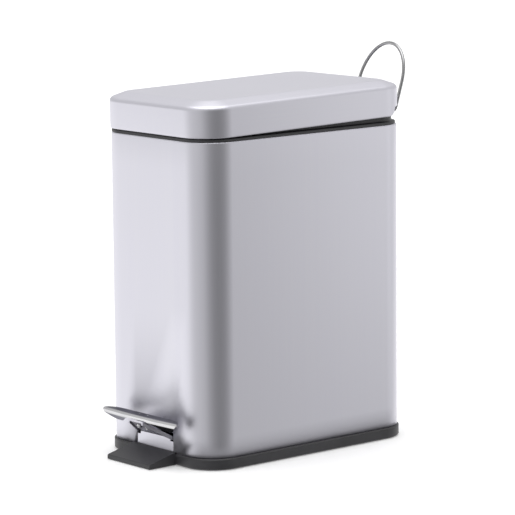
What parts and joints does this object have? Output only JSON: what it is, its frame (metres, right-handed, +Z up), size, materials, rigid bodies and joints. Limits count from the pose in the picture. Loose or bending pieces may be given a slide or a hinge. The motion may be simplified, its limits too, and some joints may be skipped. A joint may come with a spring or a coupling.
{
  "type": "pedal trash can",
  "caption": "Slim rectangular pedal bin with a steel shell and lid, plastic base, lift-out bucket, foot lever, push rod and a wire carrying handle.",
  "frame": {"origin": "on the floor, under the middle of the steel body", "axes": "+Z up; +Y towards the hinge, so the pedal is at -Y; +X to the right for someone facing the pedal"},
  "size_m": [0.133, 0.2677, 0.3042],
  "materials": {
    "satin_steel": "satin, faint upright brushing",
    "bright_chrome": "polished",
    "zinc_steel": "blue zinc plate",
    "black_plastic": "fine moulded grain",
    "bucket_plastic": "fine moulded grain",
    "rubber": "matte",
    "nylon": "matte, natural"
  },
  "bodies": {
    "body": {"outer_shell": "satin_steel", "base_tray": "black_plastic", "rubber_feet": "rubber", "rim_collar": "black_plastic", "inner_bucket": "bucket_plastic", "hinge_housing": "black_plastic", "hinge_cover": "black_plastic", "housing_screws": "zinc_steel", "screw_washers": "zinc_steel", "hinge_axle": "bright_chrome", "axle_spacers": "nylon", "axle_caps": "bright_chrome", "rod_guides": "nylon", "guide_rivets": "zinc_steel", "pivot_bracket": "zinc_steel", "bracket_screws": "zinc_steel", "pivot_pin": "bright_chrome", "pin_clips": "zinc_steel", "lever_buffer": "rubber"},
    "lid": {"lid_shell": "satin_steel", "lid_bracket": "zinc_steel", "lid_rivets": "zinc_steel", "push_bar": "bright_chrome", "lid_buffers": "rubber"},
    "handle": {"carry_handle": "bright_chrome"},
    "pedal": {"pedal_lever": "zinc_steel", "slot_shutter": "satin_steel", "lever_bushes": "nylon", "pedal_plate": "bright_chrome", "pedal_rivets": "bright_chrome"},
    "rod": {"push_rod": "zinc_steel", "rod_shoe": "nylon", "rod_cap": "nylon"}
  },
  "joints": [
    {"name": "lid_hinge", "type": "hinge", "parent": "body", "child": "lid", "pos_m": [0, 0.121, 0.246], "axis": [-1, 0, 0], "range_deg": [0, 70]},
    {"name": "handle_hinge", "type": "hinge", "parent": "lid", "child": "handle", "pos_m": [0, 0.121, 0.246], "axis": [-1, 0, 0], "range_deg": [-40, 80]},
    {"name": "pedal_hinge", "type": "hinge", "parent": "body", "child": "pedal", "pos_m": [0, -0.066, 0.012], "axis": [1, 0, 0], "range_deg": [0, 11.6]},
    {"name": "rod_slide", "type": "slide", "parent": "body", "child": "rod", "axis": [0, 0, 1], "range_m": [0, 0.0335]}
  ],
  "couplings": [
    {"joint": "pedal_hinge", "follows": "lid_hinge", "ratio": 0.165},
    {"joint": "rod_slide", "follows": "lid_hinge", "m_per_rad": 0.02734}
  ]
}
